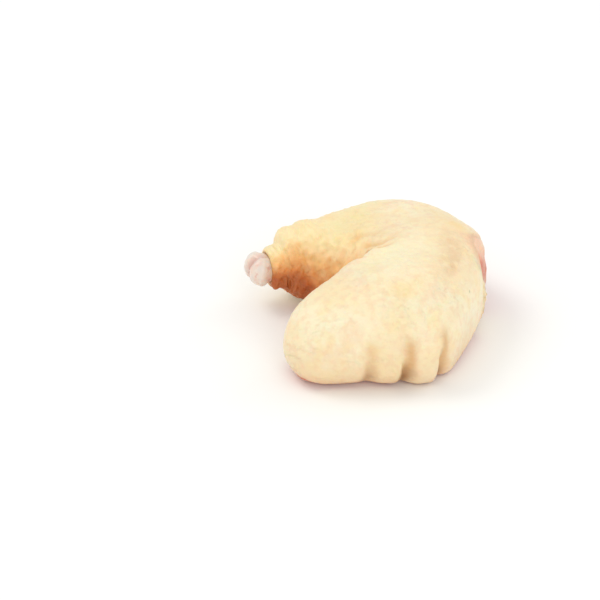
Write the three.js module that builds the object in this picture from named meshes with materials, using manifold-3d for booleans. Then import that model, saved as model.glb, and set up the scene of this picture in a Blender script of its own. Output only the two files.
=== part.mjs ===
import * as THREE from 'three'
import Module from 'manifold-3d'

// Raw chicken leg quarter lying skin side up with the knee bent, in millimetres.
// X runs along the drumstick towards the knee, Y from the thigh to the drumstick, Z up.
// The origin is the middle of the footprint, on the resting plane.

// driving sizes
const skinThickness = 2.2
const layerGap = 0.3
const skinLift = 0.6
const pressedFlat = 1.2
const cutterReach = 2
const bareSoftness = 19
const meatStart = -28
const innerFoot = 3
const fluteDepth = 3.2
const fluteWidth = 0.15
const fluteLean = 0.12
const flutes = [{ at: 9.34, share: 0.9 }, { at: 10.26, share: 1 }, { at: 10.97, share: 0.5 }]
const puckerDepth = 1
const puckerPitch = 0.8
const firstPucker = 4.3
const collarFoldHeight = 0.75
const neckRadius = 7.3
const knuckleRadius = 10.4
const boneReach = 14
const boneSunk = 12

// The leg is a chain of upright closed sections, fanned round the fold behind the knee.
// inner and outer are the X and Y of the section's feet, seen from above. base and top are
// heights, crest says where between the feet the top lies, belly how high it is widest.
// shoulder and foot say how square the outer side is above and below, 2 being an ellipse.
// bareOut and bareIn are the angles from the bottom that no skin covers, negative where it closes.
const sections = [
  {
    part: 'ankle end', inner: [-39.5, 26], outer: [-39.5, 44.5], base: 11, top: 30.8,
    crest: 0.5, belly: 0.5, shoulder: 2.1, foot: 2.3, bareOut: -45, bareIn: -45
  },
  {
    part: 'ankle', inner: [-31.4, 24], outer: [-31.4, 46], base: 9.8, top: 32.2,
    crest: 0.5, belly: 0.5, shoulder: 2.1, foot: 2.3, bareOut: -45, bareIn: -45
  },
  {
    part: 'collar', inner: [-29.3, 22], outer: [-29.3, 47.5], base: 8, top: 37.6,
    crest: 0.5, belly: 0.5, shoulder: 2.15, foot: 2.5, bareOut: -45, bareIn: -45
  },
  {
    part: 'shank', inner: [-21, 16.5], outer: [-21, 50.5], base: 3.5, top: 39.5,
    crest: 0.5, belly: 0.5, shoulder: 2.15, foot: 2.5, bareOut: -45, bareIn: -45
  },
  {
    part: 'calf start', inner: [-12, 8], outer: [-9, 51.5], base: 1, top: 41.8,
    crest: 0.5, belly: 0.5, shoulder: 2.15, foot: 2.5, bareOut: -45, bareIn: -45
  },
  {
    part: 'calf', inner: [-9, -2], outer: [13, 55.1], base: 0.6, top: 44.3,
    crest: 0.52, belly: 0.5, shoulder: 2.15, foot: 2.5, bareOut: -25, bareIn: -25
  },
  {
    part: 'upper calf', inner: [-7.8, -6], outer: [30.8, 54.1], base: 0, top: 46.5,
    crest: 0.5, belly: 0.5, shoulder: 2.45, foot: 2.5, bareOut: 35, bareIn: 15
  },
  {
    part: 'knee back', inner: [-7.3, -8.2], outer: [53.4, 36.7], base: 0, top: 48.3,
    crest: 0.48, belly: 0.48, shoulder: 2.7, foot: 2.5, bareOut: 108, bareIn: 35
  },
  {
    part: 'knee', inner: [-7.2, -9.2], outer: [64.5, 4.2], base: 0, top: 49.4,
    crest: 0.47, belly: 0.47, shoulder: 2.75, foot: 3.1, bareOut: 122, bareIn: 40
  },
  {
    part: 'knee front', inner: [-7.4, -10], outer: [58.8, -17.6], base: 0, top: 50,
    crest: 0.46, belly: 0.47, shoulder: 2.7, foot: 3.9, bareOut: 128, bareIn: 40
  },
  {
    part: 'upper thigh', inner: [-8.2, -10.6], outer: [44.8, -38.7], base: 0, top: 50,
    crest: 0.45, belly: 0.47, shoulder: 2.55, foot: 4.8, bareOut: 45, bareIn: 40
  },
  {
    part: 'thigh', inner: [-10.6, -10.9], outer: [17, -67.8], base: 0, top: 49.4,
    crest: 0.43, belly: 0.45, shoulder: 2.35, foot: 5.3, bareOut: 30, bareIn: 40
  },
  {
    part: 'lower thigh', inner: [-17, -9], outer: [-2.5, -73.2], base: 0, top: 48.4,
    crest: 0.4, belly: 0.43, shoulder: 2.15, foot: 3.4, bareOut: 34, bareIn: 42
  },
  {
    part: 'hip side', inner: [-30, -14.2], outer: [-26, -64], base: 0, top: 44,
    crest: 0.42, belly: 0.44, shoulder: 2.15, foot: 2.8, bareOut: 40, bareIn: 45
  },
  {
    part: 'hip', inner: [-45, -18.8], outer: [-47, -57], base: 0.3, top: 37.5,
    crest: 0.45, belly: 0.44, shoulder: 2.15, foot: 2.5, bareOut: 45, bareIn: 45
  },
  {
    part: 'hip end', inner: [-55.5, -22], outer: [-58, -51], base: 2, top: 31,
    crest: 0.5, belly: 0.45, shoulder: 2.15, foot: 2.5, bareOut: 45, bareIn: 45
  }
]
// Sections are counted from the collar, so those of the ankle are -2 and -1.
const firstSection = -2
const lastSection = firstSection + sections.length - 1
const ankleCap = 0.5
const hipCap = 1.7

const bump = (u, centre, width) => Math.exp(-(((u - centre) / width) ** 2))
const smooth = (from, to, x) => {
  const t = THREE.MathUtils.clamp((x - from) / (to - from), 0, 1)
  return t * t * (3 - 2 * t)
}
const signedPower = (x, power) => Math.sign(x) * Math.abs(x) ** power

// A size of the sections at u, where u counts sections: a Catmull-Rom curve through their values.
function sizeAt(u, pick) {
  const i = Math.min(Math.floor(u), lastSection - 1)
  const t = u - i
  const value = k => {
    if (k < firstSection) return 2 * pick(sections[0]) - pick(sections[1])
    if (k > lastSection) return 2 * pick(sections.at(-1)) - pick(sections.at(-2))
    return pick(sections[k - firstSection])
  }
  const [a, b, c, d] = [value(i - 1), value(i), value(i + 1), value(i + 2)]
  return b + 0.5 * t * (c - a + t * (2 * a - 5 * b + 4 * c - d + t * (3 * (b - c) + d - a)))
}

// How full the section is near the two ends of the chain: a quarter round at the ankle and the hip.
function endFullness(u) {
  const fromAnkle = THREE.MathUtils.clamp(1 - (u - firstSection) / ankleCap, 0, 1)
  const fromHip = THREE.MathUtils.clamp(1 - (lastSection - u) / hipCap, 0, 1)
  return Math.sqrt(1 - fromAnkle ** 2) * Math.sqrt(1 - fromHip ** 2.6)
}

// Flutes pressed into the lower front of the thigh, 1 in the middle of the deepest, 0 on the lobes.
// They lean towards the knee at the foot, where rise is -1.
function flute(u, rise) {
  const leaning = u + fluteLean * smooth(0, -0.9, rise)
  return flutes.reduce((sum, { at, share }) => sum + share * bump(leaning, at, fluteWidth), 0)
}

// Relief of the skin in millimetres: rings of bunched skin above the collar, and puckers that
// run out from the fold behind the knee over the upper inner side.
function relief(u, degrees) {
  const raised = bump(u, 0.45, 0.3) + bump(u, 1.5, 0.35)
  const sunk = 0.6 * bump(u, 0.95, 0.25) + 0.8 * bump(u, 2.05, 0.3)
  const atFold = smooth(3.7, 4.2, u) * smooth(7, 6.2, u)
  const onInnerTop = smooth(190, 215, degrees) * smooth(268, 250, degrees)
  const wave = (1 + Math.cos((2 * Math.PI * (u - firstPucker)) / puckerPitch)) / 2
  return collarFoldHeight * (raised - sunk) - puckerDepth * wave * atFold * onInnerTop
}

// The point of the skinned surface in section u at an angle counted from the bottom,
// up the outer side, over the top and down the inner side.
function surfacePoint(u, degrees) {
  const angle = THREE.MathUtils.degToRad(degrees - 90)
  const across = Math.cos(angle)
  const up = Math.sin(angle)
  const upper = across < 0 ? 2.15 + 0.95 * bump(u, 6.5, 3.6) : sizeAt(u, s => s.shoulder)
  const lower = across < 0 ? innerFoot : sizeAt(u, s => s.foot)
  const fullness = endFullness(u)
  const side = signedPower(across, 2 / (up < 0 ? lower : upper))
  const rise = signedPower(up, 2 / (up < 0 ? lower : upper))
  const crest = sizeAt(u, s => s.crest)
  const lean = (2 * crest - 1) * Math.max(rise, 0) * (1 - side * side)
  const base = sizeAt(u, s => s.base) - pressedFlat
  const top = sizeAt(u, s => s.top)
  const belly = base + (top - base) * sizeAt(u, s => s.belly)
  const pressed = flute(u, rise) * smooth(0.1, -0.45, rise) * smooth(0.2, 0.7, side) * fluteDepth
  const [x, y] = [0, 1].map(k => {
    const inner = sizeAt(u, s => s.inner[k])
    const outer = sizeAt(u, s => s.outer[k])
    return { middle: (inner + outer) / 2, span: outer - inner }
  })
  const width = Math.hypot(x.span, y.span)
  const reach = ((side + lean) * fullness * width) / 2
  const height = rise * fullness * (rise > 0 ? top - belly : belly - base)
  const swell = 1 + (relief(u, degrees) * fullness) / Math.max(Math.hypot(reach, height), 1)
  const share = (reach * swell - pressed) / width
  return new THREE.Vector3(
    x.middle + x.span * share,
    y.middle + y.span * share,
    belly + height * swell
  )
}

// How bare of skin the leg is there: 0 under skin, 1 where meat shows.
function bareness(u, degrees) {
  const fromBottom = degrees > 180 ? degrees - 360 : degrees
  const out = sizeAt(u, s => s.bareOut)
  const inward = sizeAt(u, s => s.bareIn)
  const within = (out + inward) / 2 - Math.abs(fromBottom - (out - inward) / 2)
  const window = smooth(-bareSoftness, bareSoftness, within)
  const atHip = u > lastSection / 2 ? smooth(0.3, 0.8, endFullness(u)) : 1
  return window * atHip
}

// Section positions for a grid: rounded ends, and finer steps at the puckers and the flutes.
function sectionSteps(endCount, plainStep, puckerStep, fluteStep) {
  const steps = []
  for (let i = 1; i <= endCount; i++) {
    steps.push(firstSection + ankleCap * (1 - Math.cos((i / endCount) * (Math.PI / 2))))
  }
  while (steps.at(-1) < lastSection - hipCap) {
    const u = steps.at(-1)
    const fineStep = u > 8 ? fluteStep : puckerStep
    const isFine = (u > 3.7 && u < 6.8) || (u > 8.5 && u < 11.4)
    steps.push(u + (isFine ? fineStep : plainStep))
  }
  steps.pop()
  for (let i = endCount; i >= 1; i--) {
    steps.push(lastSection - hipCap * (1 - Math.cos((i / endCount) * (Math.PI / 2))))
  }
  return steps
}

// A closed grid body: one ring of points for each step, and a pole at each end.
function ringBody(rings, firstPole, lastPole) {
  const count = rings[0].length
  const points = [firstPole, ...rings.flat(), lastPole]
  const last = points.length - 1
  const faces = []
  const at = (ring, k) => 1 + ring * count + (k % count)
  for (let k = 0; k < count; k++) {
    faces.push(0, at(0, k + 1), at(0, k))
    faces.push(last, at(rings.length - 1, k), at(rings.length - 1, k + 1))
  }
  for (let ring = 0; ring < rings.length - 1; ring++) {
    for (let k = 0; k < count; k++) {
      const [a, b] = [at(ring, k), at(ring, k + 1)]
      const [c, d] = [at(ring + 1, k + 1), at(ring + 1, k)]
      faces.push(a, b, c, a, c, d)
    }
  }
  const geometry = new THREE.BufferGeometry().setFromPoints(points)
  geometry.setIndex(faces)
  return geometry
}

// The skinned surface moved along its own normal by depth(bare), and kept above floor(bare).
function legBody(steps, roundCount, depth, floor) {
  const angles = Array.from({ length: roundCount }, (_, k) => (360 * k) / roundCount)
  const rings = steps.map(u => angles.map(degrees => surfacePoint(u, degrees)))
  const body = ringBody(rings, surfacePoint(firstSection, 0), surfacePoint(lastSection, 0))
  body.computeVertexNormals()
  const places = body.getAttribute('position')
  const normals = body.getAttribute('normal')
  for (let i = 0; i < places.count; i++) {
    const ring = Math.floor((i - 1) / roundCount)
    const isPole = i === 0 || i === places.count - 1
    const u = isPole ? (i === 0 ? firstSection : lastSection) : steps[ring]
    const bare = bareness(u, isPole ? 0 : angles[(i - 1) % roundCount])
    const place = new THREE.Vector3().fromBufferAttribute(places, i)
    const normal = new THREE.Vector3().fromBufferAttribute(normals, i)
    place.addScaledVector(normal, depth(bare))
    places.setXYZ(i, place.x, place.y, Math.max(place.z, floor(bare)))
  }
  return body
}

// The ankle and its knuckle: rings along -X, a neck that flares into two rounded lobes
// with a shallow groove between them. grow makes it larger all over.
function boneBody(grow) {
  const ankleEnd = firstSection + ankleCap
  const centre = surfacePoint(ankleEnd, 90).add(surfacePoint(ankleEnd, 270)).multiplyScalar(0.5)
  const rings = []
  const ringCount = 14
  const pointCount = 20
  const length = boneReach + boneSunk
  for (let i = 1; i < ringCount; i++) {
    const along = (1 - Math.cos((i / ringCount) * Math.PI)) / 2
    const flare = smooth(0.45, 0.82, along)
    const close = Math.sqrt(1 - Math.max(0, (along - 0.7) / 0.3) ** 2)
    const open = Math.sqrt(1 - Math.max(0, (0.12 - along) / 0.12) ** 2)
    const radius = THREE.MathUtils.lerp(neckRadius, knuckleRadius, flare) * close * open + grow
    const ring = []
    for (let k = 0; k < pointCount; k++) {
      const angle = (-2 * Math.PI * k) / pointCount
      const [side, rise] = [Math.cos(angle), Math.sin(angle)]
      const lobes = 1 + flare * (0.12 * Math.cos(2 * angle) - 0.06)
      const groove = 1.8 * flare * bump(side, 0, 0.3)
      ring.push(new THREE.Vector3(
        centre.x + boneSunk + grow - along * (length + 2 * grow),
        centre.y + side * radius * lobes,
        centre.z + rise * (radius * lobes - groove)
      ))
    }
    rings.push(ring)
  }
  const start = new THREE.Vector3(centre.x + boneSunk + grow, centre.y, centre.z)
  const end = new THREE.Vector3(centre.x - boneReach - grow, centre.y, centre.z)
  return ringBody(rings, start, end)
}

const wasm = await Module()
wasm.setup()

// A closed grid body as a solid that can be cut
function solidFrom(geometry) {
  return new wasm.Manifold(new wasm.Mesh({
    numProp: 3,
    vertProperties: geometry.getAttribute('position').array,
    triVerts: new Uint32Array(geometry.index.array)
  }))
}

function geometryFrom(solid) {
  const mesh = solid.getMesh()
  const geometry = new THREE.BufferGeometry()
  geometry.setAttribute('position', new THREE.BufferAttribute(mesh.vertProperties, 3))
  geometry.setIndex(new THREE.BufferAttribute(mesh.triVerts, 1))
  return geometry
}

const { lerp } = THREE.MathUtils
const underSkin = skinLift + skinThickness
const skinSteps = sectionSteps(7, 0.28, 0.17, 0.14)
const meatSteps = sectionSteps(5, 0.28, 0.22, 0.2)

// The block before the collar, where the skin closes on the bone and no meat is.
const beforeCollar = reach => (
  wasm.Manifold.cube([20, 40, 50]).translate([meatStart - reach - 20, 14, -5])
)

// The skin is the whole outer form less all that lies under it and the windows where meat shows.
const outerForm = solidFrom(legBody(skinSteps, 36, () => 0, () => skinLift))
const skinCutter = solidFrom(legBody(
  meatSteps,
  34,
  bare => lerp(layerGap - skinThickness, cutterReach, bare),
  bare => lerp(underSkin - layerGap, -cutterReach - pressedFlat, bare)
)).subtract(beforeCollar(layerGap))
const meatForm = solidFrom(legBody(
  meatSteps,
  34,
  bare => lerp(-skinThickness, -layerGap, bare),
  bare => lerp(underSkin, 0, bare)
)).subtract(beforeCollar(0))
const boneSocket = solidFrom(boneBody(layerGap))

const layers = {
  skin: {
    geometry: geometryFrom(outerForm.subtract(skinCutter).subtract(boneSocket)),
    material: new THREE.MeshStandardMaterial({ color: '#f7dfb9', roughness: 0.42, metalness: 0 })
  },
  meat: {
    geometry: geometryFrom(meatForm.subtract(boneSocket)),
    material: new THREE.MeshStandardMaterial({ color: '#cf7f74', roughness: 0.38, metalness: 0 })
  },
  shank_bone: {
    geometry: boneBody(0),
    material: new THREE.MeshStandardMaterial({ color: '#efdccb', roughness: 0.35, metalness: 0 })
  }
}

const footprint = new THREE.Box3()
for (const { geometry } of Object.values(layers)) {
  geometry.computeBoundingBox()
  footprint.union(geometry.boundingBox)
}
const middle = footprint.getCenter(new THREE.Vector3())

const leg = new THREE.Group()
for (const [name, { geometry, material }] of Object.entries(layers)) {
  geometry.translate(-middle.x, -middle.y, -footprint.min.z)
  const mesh = new THREE.Mesh(geometry, material)
  mesh.name = name
  leg.add(mesh)
}

export default leg
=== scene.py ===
import math

import bmesh
import bpy
import numpy as np
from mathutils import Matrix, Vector


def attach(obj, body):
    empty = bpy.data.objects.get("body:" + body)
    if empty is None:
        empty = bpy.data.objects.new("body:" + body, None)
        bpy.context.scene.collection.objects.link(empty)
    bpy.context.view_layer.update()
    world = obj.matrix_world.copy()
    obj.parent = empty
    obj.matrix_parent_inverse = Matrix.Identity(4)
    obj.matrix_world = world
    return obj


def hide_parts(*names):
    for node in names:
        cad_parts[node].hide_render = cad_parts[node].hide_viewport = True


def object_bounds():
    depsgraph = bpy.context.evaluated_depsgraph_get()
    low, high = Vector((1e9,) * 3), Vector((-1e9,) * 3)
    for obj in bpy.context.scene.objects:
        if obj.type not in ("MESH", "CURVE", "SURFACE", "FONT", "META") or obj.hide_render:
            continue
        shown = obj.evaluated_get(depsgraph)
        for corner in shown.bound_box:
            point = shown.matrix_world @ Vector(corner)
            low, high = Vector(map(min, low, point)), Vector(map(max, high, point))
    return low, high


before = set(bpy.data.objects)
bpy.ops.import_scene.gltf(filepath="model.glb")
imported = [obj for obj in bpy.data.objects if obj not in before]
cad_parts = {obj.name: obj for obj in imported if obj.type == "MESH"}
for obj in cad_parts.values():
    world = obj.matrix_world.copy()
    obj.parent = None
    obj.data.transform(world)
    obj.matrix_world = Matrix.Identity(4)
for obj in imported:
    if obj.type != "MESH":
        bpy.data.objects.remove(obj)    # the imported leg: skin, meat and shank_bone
cadLow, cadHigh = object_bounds()
print("frame loaded, box in mm:", [round((high - low) * 1000, 1) for low, high in zip(cadLow, cadHigh)])

# raw chicken leg quarter, skin side up, knee bent; work is in millimetres, meshes in metres

# the leg is a chain of upright closed sections, fanned round the fold behind the knee; each list runs
# from the ankle and the collar over calf, knee and thigh to the hip end
legForm = {
    "innerX": [-39.5, -31.4, -29.3, -21, -12, -9, -7.8, -7.3, -7.2, -7.4, -8.2, -10.6, -17, -30, -45, -55.5],
    "innerY": [26, 24, 22, 16.5, 8, -2, -6, -8.2, -9.2, -10, -10.6, -10.9, -9, -14.2, -18.8, -22],
    "outerX": [-39.5, -31.4, -29.3, -21, -9, 13, 30.8, 53.4, 64.5, 58.8, 44.8, 17, -2.5, -26, -47, -58],
    "outerY": [44.5, 46, 47.5, 50.5, 51.5, 55.1, 54.1, 36.7, 4.2, -17.6, -38.7, -67.8, -73.2, -64, -57, -51],
    "base": [11, 9.8, 8, 3.5, 1, 0.6] + [0] * 8 + [0.3, 2],
    "top": [30.8, 32.2, 37.6, 39.5, 41.8, 44.3, 46.5, 48.3, 49.4, 50, 50, 49.4, 48.4, 44, 37.5, 31],
    "crest": [0.5] * 5 + [0.52, 0.5, 0.48, 0.47, 0.46, 0.45, 0.43, 0.4, 0.42, 0.45, 0.5],
    "belly": [0.5] * 7 + [0.48, 0.47, 0.47, 0.47, 0.45, 0.43, 0.44, 0.44, 0.45],
    # powers of the superellipse's quarters
    "innerShoulder": [2.15, 2.15, 2.19, 2.24, 2.35, 2.53, 2.74, 2.95,
                      3.08, 3.08, 2.95, 2.74, 2.52, 2.35, 2.24, 2.19],
    "outerShoulder": [2.1, 2.1, 2.15, 2.15, 2.15, 2.15, 2.45, 2.7,
                      2.75, 2.7, 2.55, 2.35, 2.15, 2.15, 2.15, 2.15],
    "outerFoot": [2.3, 2.3] + [2.5] * 6 + [3.1, 3.9, 4.8, 5.3, 3.4, 2.8, 2.5, 2.5],
    "innerFoot": 3.0,
    "ankleCap": 0.5,    # sections that the rounded ends take up
    "hipCap": 1.7,
    "hipPower": 2.6,
    "pressedFlat": 1.2,    # mm that the leg's weight takes off the bottom
    "skinThickness": 2.2,
    "skinLift": 0.6,         # the skin ends this far above the ground
    "insideBox": 0.05,       # every surface stays this far inside the solids' box
}
firstSection = -2    # sections are counted from the collar, so the ankle's two are -2 and -1
lastSection = firstSection + len(legForm["top"]) - 1
foldSection = 6          # about where drumstick and thigh meet
tiny = 1e-9              # keeps a division from zero

# windows on the leg: the sections, then the degrees, at which each starts, is full, stays full and
# ends; degrees run from the bottom up the outer side, and -4 and 15 lie past the leg's two ends
regions = {
    "puckers": ((3.7, 4.2, 6.2, 7), (190, 215, 250, 268)),
    "pleats": ((4.2, 5.2, 6.9, 7.9), (176, 205, 262, 290)),
    "drumInner": ((-4, -3, 3.2, 4.6), (180, 215, 315, 345)),
    "drumTop": ((-4, -3, 3.6, 5), (120, 140, 215, 240)),
    "gapWall": ((-4, -3, 9.3, 12.3), (-90, -80, 335, 352)),
    "thighFront": ((7.6, 8.8, 14, 15), (60, 90, 150, 190)),
    "thighLow": ((7.8, 8.6, 14, 15), (-90, -80, 150, 200)),
    "crescent": ((6.2, 6.6, 7.3, 7.9), (60, 90, 400, 410)),
    "kneeMeat": ((6, 6.4, 8, 8.4), (60, 90, 150, 170)),
    "kneeFat": ((-4, -3, 8.2, 8.6), (30, 60, 180, 200)),
}


def bump(x, centre, width):
    # a smooth hill, 1 at its centre: e to the power of minus the squared distance in widths
    return np.exp(-(((x - centre) / width) ** 2))


def smooth(start, stop, x):
    # 0 before start, 1 after stop, and an S between them
    t = np.clip((x - start) / (stop - start), 0, 1)
    return t * t * (3 - 2 * t)


def length(vectors):
    # size of each vector in a grid
    return np.linalg.norm(vectors, axis=-1)


def within(x, edges):
    # 1 between the middle edges, 0 beyond the outer ones: an S up times an S down
    return smooth(edges[0], edges[1], x) * smooth(edges[3], edges[2], x)


def inRegion(name, u, turn):
    # a region's window along the leg times its window round the section
    sections, degrees = regions[name]
    return within(u, sections) * within(turn, degrees)


def sizeAt(name, u):
    # a cubic through the listed sizes, whose slope at each is half the step between its neighbours
    sizes = np.array(legForm[name], float)
    padded = np.concatenate([[2 * sizes[0] - sizes[1]], sizes, [2 * sizes[-1] - sizes[-2]]])
    i = np.clip(np.floor(u).astype(int), firstSection, lastSection - 1)
    t = u - i
    a, b, c, d = (padded[i - firstSection + k] for k in range(4))
    return b + 0.5 * t * (c - a + t * (2 * a - 5 * b + 4 * c - d + t * (3 * (b - c) + d - a)))


def endFullness(u):
    # share of the full section left in the rounded ends: a quarter circle at the ankle, nearly one at
    # the hip
    fromAnkle = np.clip(1 - (u - firstSection) / legForm["ankleCap"], 0, 1)
    fromHip = np.clip(1 - (lastSection - u) / legForm["hipCap"], 0, 1)
    return np.sqrt(1 - fromAnkle ** 2) * np.sqrt(1 - fromHip ** legForm["hipPower"])


# channels pressed into the thigh's front; height is -1 at the foot of a section and 1 at its top
fluteForm = {
    "at": (9.34, 10.26, 10.97), "share": (0.9, 1.0, 0.5), "lean": 0.12, "width": 0.12, "depth": 4.4,
    "topShare": 0.6, "footGain": 0.75, "foot": -0.9,    # shares of the width, and the foot's height
    "fade": (0.1, -0.45), "outer": (0.2, 0.7),    # heights and reaches between which it sinks in
    # the channels' marks: painted shade in the channels, and a painted contact shadow at their foot
    "markHeight": -0.5, "markTurns": (0, 40, 96, 116), "footShadowTurns": (88, 60),    # where it is tinted
}
# bunched skin above the collar, each ring by section, width and height, and puckers by the fold
foldForm = {
    "collar": 0.75, "rings": ((0.45, 0.3, 1), (1.5, 0.35, 1), (0.95, 0.25, -0.6), (2.05, 0.3, -0.8)),
    "pucker": 0.3, "puckerPitch": 0.8, "firstPucker": 4.3,
}


def fluteAt(u, rise):
    # a hill at each section named, added up; each widens towards its foot and leans to the knee
    atFoot = smooth(0, fluteForm["foot"], rise)
    width = fluteForm["width"] * (fluteForm["topShare"] + fluteForm["footGain"] * atFoot)
    leaning = u + fluteForm["lean"] * atFoot
    return sum(share * bump(leaning, at, width) for at, share in zip(fluteForm["at"], fluteForm["share"]))


def foldRelief(u, turn):
    # mm: the hills and hollows of the rings, less a cosine wave where the puckers lie
    rings = sum(height * bump(u, at, width) for at, width, height in foldForm["rings"])
    wave = (1 + np.cos(2 * np.pi * (u - foldForm["firstPucker"]) / foldForm["puckerPitch"])) / 2
    return foldForm["collar"] * rings - foldForm["pucker"] * wave * inRegion("puckers", u, turn)


def legSurface(u, turn):
    # the skinned surface: each section is a superellipse over its two feet, pressed in by the channels
    # and swelled by the folds
    angle = np.radians(turn - 90)
    across, up = np.cos(angle), np.sin(angle)
    upper = np.where(across < 0, sizeAt("innerShoulder", u), sizeAt("outerShoulder", u))
    lower = np.where(across < 0, legForm["innerFoot"], sizeAt("outerFoot", u))
    power = 2 / np.where(up < 0, lower, upper)
    fullness = endFullness(u)
    side, rise = (np.sign(s) * np.abs(s) ** power for s in (across, up))
    lean = (2 * sizeAt("crest", u) - 1) * np.maximum(rise, 0) * (1 - side * side)
    base = sizeAt("base", u) - legForm["pressedFlat"]
    top = sizeAt("top", u)
    belly = base + (top - base) * sizeAt("belly", u)
    ix, iy, ox, oy = (sizeAt(k, u) for k in ("innerX", "innerY", "outerX", "outerY"))
    width = np.hypot(ox - ix, oy - iy)
    onFront = smooth(*fluteForm["fade"], rise) * smooth(*fluteForm["outer"], side)
    pressed = fluteAt(u, rise) * onFront * fluteForm["depth"]
    reach = (side + lean) * fullness * width / 2
    height = rise * fullness * np.where(rise > 0, top - belly, belly - base)
    swell = 1 + foldRelief(u, turn) * fullness / np.maximum(np.hypot(reach, height), 1)
    share = (reach * swell - pressed) / width
    return np.stack([(ix + ox) / 2 + (ox - ix) * share,
                     (iy + oy) / 2 + (oy - iy) * share,
                     belly + height * swell], -1)


def edgeDistance(rings):
    # for each point, how far along its section the first and the last point are: sums of the steps
    steps = length(np.diff(rings, axis=1))
    along = np.concatenate([np.zeros((len(rings), 1)), np.cumsum(steps, 1)], 1)
    return along, along[:, -1:] - along


def evenTurns(u, start, stop, count, fineSteps=1200):
    # angles that put the points of each section at even steps of its own girth
    fine = start + (stop - start) * np.linspace(0, 1, fineSteps)[None, :]
    along = edgeDistance(legSurface(u, fine))[0]
    return np.array([np.interp(np.linspace(0, a[-1], count), a, f) for a, f in zip(along, fine)])


def outward(places, closed):
    # unit normals of a grid, from the cross product of its two directions
    if closed:
        wrapped = np.concatenate([places[:, -2:-1], places, places[:, 1:2]], 1)
        around = np.gradient(wrapped, axis=1)[:, 1:-1]
    else:
        around = np.gradient(places, axis=1)
    normals = np.cross(around, np.gradient(places, axis=0))
    return normals / np.maximum(length(normals), tiny)[..., None]


def softNoise(places, size, seed, waves=16, lengths=(0.7, 1.4)):
    # smooth noise of about unit spread: a sum of waves in random directions, near one wavelength
    rng = np.random.default_rng(seed)
    total = np.zeros(places.shape[:-1])
    for _ in range(waves):
        direction = rng.normal(size=3)
        direction *= 2 * np.pi / (length(direction) * size * rng.uniform(*lengths))
        total += np.cos(places @ direction + rng.uniform(0, 2 * np.pi))
    return total / math.sqrt(waves / 2)


def lumpy(places, form):
    # soft noise by its size and height in mm and its seed
    size, height, seed = form
    return height * softNoise(places, size, seed)


def patchy(places, patch, more=0):
    # soft noise as patches: level plus swing times the noise, kept between least and most
    size, seed, level, swing, least, most = patch
    return np.clip(level + swing * softNoise(places, size, seed) + more, least, most)


def pimples(places, cell, radius, seed, wander=0.8):
    # low round bumps, each the square of 1 less the squared distance in radii, round one scattered
    # point in each cube of space
    scatter = np.array([[12.9898, 39.3461, 73.156], [78.233, 11.135, 52.235], [37.719, 83.155, 9.151]])
    scatterScale = 43758.5453
    corner = np.floor(places / cell)
    height = np.zeros(places.shape[:-1])
    for step in np.ndindex(3, 3, 3):
        cube = corner + np.array(step) - 1
        scattered = (np.sin(cube @ scatter + seed) * scatterScale) % 1
        point = (cube + 0.5 + wander * (scattered - 0.5)) * cell
        away = length(places - point) / radius
        height = np.maximum(height, np.clip(1 - away ** 2, 0, 1) ** 2)
    return height


# where the skin ends: sections, then degrees from the bottom up the outer and up the inner side
marginForm = {
    "at": [0, 2, 3, 4, 5, 6, 6.35, 6.55, 6.75, 7, 7.15, 7.3,
           7.45, 7.56, 7.65, 7.71, 7.79, 8.05, 8.5, 9.2, 10, 11, 13],
    "out": [-45, -45, -25, 35, 100, 106, 110, 121, 130, 132, 131, 128,
            124, 117, 108, 93, 70, 60, 50, 36, 34, 40, 44],
    "in": [-45, -45, -25, 15, 35] + [40] * 15 + [42, 44, 44],
    # the ragged cut: degrees, waves for each section and shift of each wave, the last one in patches
    "waves": ((1.6, 3.1, 0), (1.1, 7.3, 1), (0.7, 15.7, 2), (0.35, 31, 3)),
    "patchWave": (0.5, 23.3, 0.5), "patchRate": 5.1, "raggedFrom": (4, 20),
    "hipFullness": (0.5, 0.35), "hipOverlap": 20,    # the cut closes as the hip end narrows
    "skinOverlap": 0.8, "meatOverlap": 45,           # most that the two edges may pass each other
    "innerFrom": 200,    # degrees from which the inner edge is the nearer one
}


def marginTurns(u, overlap):
    # first and last angle that the skin covers: straight lines between the listed cuts, closed towards
    # the hip end, with a sum of sine waves that makes the cut ragged
    form = marginForm
    out, inward = (np.interp(u, form["at"], form[side]) for side in ("out", "in"))
    middleTurn, half = (out - inward) / 2, (out + inward) / 2
    closing = np.sqrt(np.clip((endFullness(u) - form["hipFullness"][0]) / form["hipFullness"][1], 0, 1))
    atHip = np.where(u > lastSection / 2, closing, 1)
    half = np.where(half > 0, half * atHip - form["hipOverlap"] * (1 - atHip), half)
    ragged = sum(size * np.sin(rate * u + shift) for size, rate, shift in form["waves"])
    size, rate, shift = form["patchWave"]
    ragged = ragged + size * np.sin(rate * u + shift) * (1 + np.sin(form["patchRate"] * u)) / 2
    half = np.maximum(half + ragged * smooth(*form["raggedFrom"], half), -overlap)
    return middleTurn + half, 360 + middleTurn - half


def slantShare(u, margin):
    # sine of the angle at which the margin crosses each section: a length along the section times it
    # is the distance from the margin
    along = np.gradient(legSurface(u, margin)[:, 0], axis=0)
    section = (legSurface(u, margin + 0.5) - legSurface(u, margin - 0.5))[:, 0]
    cosine = (along * section).sum(1) / np.maximum(length(along) * length(section), tiny)
    steepest = 0.995
    return np.sqrt(1 - np.clip(cosine, -steepest, steepest) ** 2)[:, None]


def pastMargin(u, turn, places):
    # mm by which a point lies outside the skin's margin, negative under the skin: degrees from the
    # nearer edge times the girth of a degree
    first, last = marginTurns(u, marginForm["meatOverlap"])
    onInner = turn > marginForm["innerFrom"]
    degrees = np.where(onInner, (turn - last) * slantShare(u, last), (first - turn) * slantShare(u, first))
    girth = length(np.gradient(places, axis=1)) / np.abs(np.gradient(turn, axis=1))
    leastGirth = 0.01    # mm for a degree, where the ends run to a point
    return degrees * np.maximum(girth, leastGirth)


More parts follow.
